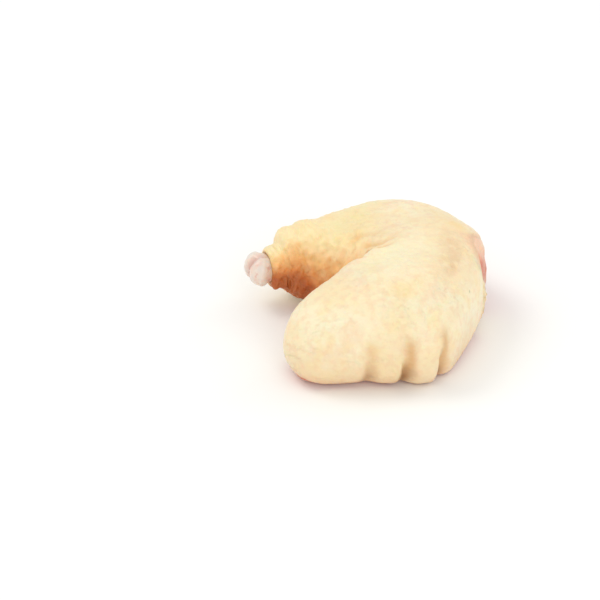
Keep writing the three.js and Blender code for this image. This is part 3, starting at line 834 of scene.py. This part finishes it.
# moist pale yellow skin: cream with paler, pinker and yellower clouds, orange where it is thin, greyish over
# the knee (partly painted shade), two tiny olive specks; painted shade in the gap, the folds, the channels
# and low on the thigh, a painted highlight on the dome; a soft sheen with light inside
skinTints = {
    "shader": {"IOR": 1.42, "Specular IOR Level": 0.42, "Coat Weight": 0.22, "Coat Roughness": 0.28,
               "Subsurface Weight": 0.32, "Subsurface Radius": (1.0, 0.5, 0.28),
               "Subsurface Scale": 0.0035},
    "base": "#f8e0b5",
    "layers": (    # from the bottom layer to the top: colour, strength and patterns
        ("#faeac8", ("noise", (30, 2), 0.35, 0.65)),          # paler clouds
        ("#f6d2ae", 0.5, ("noise", (15, 3), 0.46, 0.7)),      # pinker ones
        ("#f9dca0", 0.4, ("noise", (11, 3), 0.52, 0.7)),      # yellower ones
        ("#f3cda6", 0.4, ("noise", (3.6, 2), 0.45, 0.68)),    # mottling
        ("#fbdf9c", 0.5, "drumTop"),
        # painted highlight on the top of the thigh's dome
        ("#fdf3cd", 0.6, "domeHighlight"),
        # painted shade, darker towards the foot of the thigh's front
        ("#e2bd92", 0.4, "low"),
        ("#f6d592", 0.6, "fat"),
        # greyish thinner skin over the knee, partly painted shade
        ("#e4c297", 0.8, "greyedAndShaded", ("noise", (6, 3), 0.2, 0.6)),
        # painted shade in the pressed channels
        ("#d5a56c", 0.8, "pressed"),
        # painted contact shadow at the channels' foot
        ("#8a5526", 0.8, "grooveFootShadow"),
        # orange of the thin skin on the gap's wall, partly painted shade
        ("#f9c27d", "flushAndGapShade", ("noise", (7, 3), 0.3, 0.7, -2.2, 1.0)),
        # painted shade deepening into the gap between drumstick and thigh
        ("#da7e39", "paintedGapShade", ("noise", (7, 3), 0.3, 0.7, -2.2, 1.0)),
        # the darkest painted shade, deep in the gap
        ("#9c4412", ("mark", "paintedGapShade", 0.7, 1.2)),
        # painted shade in the valleys of the knee folds and the pleats
        ("#efb777", 0.7, "foldShade"),
        # painted shade at the tip of the deepest fold
        ("#b26e34", 0.85, "foldTipShade"),
        ("#efb08a", 0.5, "thin"),
        ("#f5c39c", 0.85, "crescent"),
        ("#c88f57", 0.7, "rim"),
        ("#b3ab7c", 0.7, ("point", (0.0313, -0.0387, 0.0341), 0.0014, 0.0003)),    # olive specks
        ("#b3ab7c", 0.7, ("point", (-0.0079, -0.0530, 0.0411), 0.0014, 0.0003)),
    ),
    "roughness": (0.40, 0.54), "uneven": ("noise", (6, 3), 0.35, 0.65),
    # pebbly fat under the thin skin of the drumstick, pores, and two sizes of fine unevenness
    "bumps": ((0.3, ("cells", 2.2, 0.7, 0.1), "pebbled", ("noise", (9, 2), 0.3, 0.6)),
              (0.16, ("cells", 3.1, 0.55, 0.0)), (0.16, ("noise", (2.6, 3), 0.35, 0.65)),
              (0.05, ("noise", (0.9, 2), 0.35, 0.65))),
}

# wet gristle: bluish white on the knuckle, yellower towards the neck, pink in the hollow, darkened there by
# painted shade, with thin red veins; the coat gives it small sharp lights
ankleTints = {
    "shader": {"IOR": 1.42, "Specular IOR Level": 0.5, "Coat Weight": 0.5, "Coat Roughness": 0.12,
               "Subsurface Weight": 0.3, "Subsurface Radius": (1.0, 0.6, 0.45),
               "Subsurface Scale": 0.003, "Roughness": 0.28},
    "base": "#efc793",
    "layers": (
        ("#e9dccf", ("mark", "gristle", 0.1, 0.8)),
        ("#d9d4cf", 0.5, ("noise", (5, 3), 0.45, 0.7)),       # bluish clouds
        ("#e9bca9", 0.6, ("noise", (7, 3), 0.5, 0.75)),       # pinkish ones
        # pink flesh and painted shade in the groove and on the end face
        ("#dba391", 0.6, "hollowPinkAndShade"),
        ("#c9736a", 0.45, ("noise", (3.5, 4), 0.6, 0.75)),    # red veins
    ),
    "bumps": ((0.12, ("noise", (3, 3), 0.35, 0.65)), (0.04, ("noise", (1.1, 2), 0.35, 0.65))),
}

# raw dark meat: pink to red, wet, with fibres drawn along the leg, a pale membrane, a pad of ragged
# yellowish fat, and fat and membrane in the furrows
meatTints = {
    "shader": {"IOR": 1.4, "Specular IOR Level": 0.4, "Coat Weight": 0.2, "Coat Roughness": 0.25,
               "Subsurface Weight": 0.25, "Subsurface Radius": (1.0, 0.3, 0.2),
               "Subsurface Scale": 0.003},
    "base": "#df8762",
    "flesh": (("#cb664a", ("noise", (16, 3), 0.35, 0.65)), ("#ebb08a", 0.6, ("noise", (10, 3), 0.5, 0.75))),
    "fibre": ("#e6b09d", 0.28), "fibreSize": ("noise", (1.6, 3), 0.3, 0.7), "fibreStretch": 0.12,
    "ends": (("#f6c9a4", 0.95, "veil"), ("#d29a74", 0.8, "tail")),
    "fat": "#f5e2b8", "fatGrains": (("#e9c78e", ("noise", (2.6, 3), 0.42, 0.7)),), "fatShare": 0.95,
    "fatOutline": ("noise", (3.4, 4), 0.25, 0.75), "fatRagged": 0.5, "fatLevels": (0.62, 0.88),
    "furrow": ("#ecd3b0", "furrow", ("noise", (9, 3), 0.36, 0.62)),
    "roughness": (0.32, 0.46), "fibreDepth": 0.22, "lumps": (0.25, ("noise", (4, 3), 0.35, 0.65)),
}


def meatFinish():
    # the fibres are noise drawn out along the leg, on the grain mark, which counts along it and round
    tints = meatTints
    finish, tree, shader, where = newFinish("raw thigh meat", tints["shader"])
    grain = addNode(tree, "Attribute", attribute_name="grain").outputs["Vector"]
    stretch = {0: grain, 1: (tints["fibreStretch"], 1.0, 1.0)}
    drawn = addNode(tree, "VectorMath", stretch, operation="MULTIPLY").outputs["Vector"]
    fibres = patternValue(tree, drawn, tints["fibreSize"])
    flesh = (*tints["flesh"], (*tints["fibre"], fibres), *tints["ends"])
    colour = layColours(tree, where, tints["base"], flesh)
    # the pad's mark plus some noise, stretched between two levels, makes a ragged outline
    outline = patternValue(tree, where, tints["fatOutline"])
    ragged = {0: outline, 1: tints["fatRagged"], 2: patternValue(tree, where, "fatPad")}
    raggedPad = addNode(tree, "Math", ragged, operation="MULTIPLY_ADD").outputs[0]
    onPad = ("value", raggedPad, *tints["fatLevels"])
    fat = layColours(tree, where, tints["fat"], tints["fatGrains"])
    colour = layColours(tree, where, colour, ((fat, tints["fatShare"], onPad), tints["furrow"]))
    bumps = ((tints["fibreDepth"], fibres), tints["lumps"])
    linkShader(tree, where, shader, colour, bumps, fibres, tints["roughness"])
    return finish


print("adding finishes")
legSkin.data.materials.append(layeredFinish("moist cream chicken skin", skinTints))
legMeat.data.materials.append(meatFinish())
ankleKnuckle.data.materials.append(layeredFinish("pale joint gristle", ankleTints))


# studio: pale floor, white room light, large soft lamps
studio = {
    "room": 0.80, "floorHalf": 4.0, "floorColour": "#fafbfa", "floorRoughness": 0.9, "floorShine": 0.1,
    "aim": (0, 0, 0.02),
    "lamps": (    # name, place in m, size in m, power in W, colour
        ("top left soft light", (-0.8, 0.7, 1.5), 0.9, 7.0, "#fffbf4"),
        ("front fill light", (-0.2, -1.6, 0.9), 1.2, 7.0, "#fffdf8"),
        ("right edge light", (1.3, 0.2, 0.9), 0.9, 2.5, "#ffffff"),
    ),
}


def addLamp(name, place, size, power, colour):
    # a round soft lamp at its place, turned to face the leg
    light = bpy.data.lights.new(name, "AREA")
    light.shape = "DISK"
    light.size = size
    light.energy = power
    light.color = linear(colour)[:3]
    lamp = addObject(name, light)
    lamp.location = place
    lamp.rotation_euler = (Vector(studio["aim"]) - Vector(place)).to_track_quat("-Z", "Y").to_euler()


def paleFloor(half):
    # one square face at height 0, matt and nearly white
    mesh = bpy.data.meshes.new("pale floor")
    corners = [(-half, -half, 0), (half, -half, 0), (half, half, 0), (-half, half, 0)]
    mesh.from_pydata(corners, [], [(0, 1, 2, 3)])
    shaderValues = {"Base Color": linear(studio["floorColour"]), "Roughness": studio["floorRoughness"],
                    "Specular IOR Level": studio["floorShine"]}
    mesh.materials.append(newFinish("matt white floor", shaderValues)[0])
    addObject("paleFloor", mesh)


print("setting up the studio")
paleFloor(studio["floorHalf"])
for lamp in studio["lamps"]:
    addLamp(*lamp)
world = bpy.data.worlds.new("white room")
bpy.context.scene.world = world
world.use_nodes = True
background = world.node_tree.nodes["Background"].inputs
background["Color"].default_value = (1, 1, 1, 1)
background["Strength"].default_value = studio["room"]
bpy.context.scene.view_settings.view_transform = "Standard"


# camera: pinhole 1.16 m from the leg's middle, looking down over the thigh; m, degrees and mm
cameraSet = {
    "place": (-0.4159, -0.9202, 0.5878), "turn": -22.15, "down": 29.55, "lens": 141.1, "sensor": 36,
}
camera = addObject("photo camera", bpy.data.cameras.new("photo camera"))
camera.data.lens = cameraSet["lens"]
camera.data.sensor_width = cameraSet["sensor"]
camera.location = cameraSet["place"]
# tipped up from straight down by 90 degrees less its tilt, then turned round the vertical
camera.rotation_euler = (math.radians(90 - cameraSet["down"]), 0, math.radians(cameraSet["turn"]))
bpy.context.scene.camera = camera
bpy.context.view_layer.update()
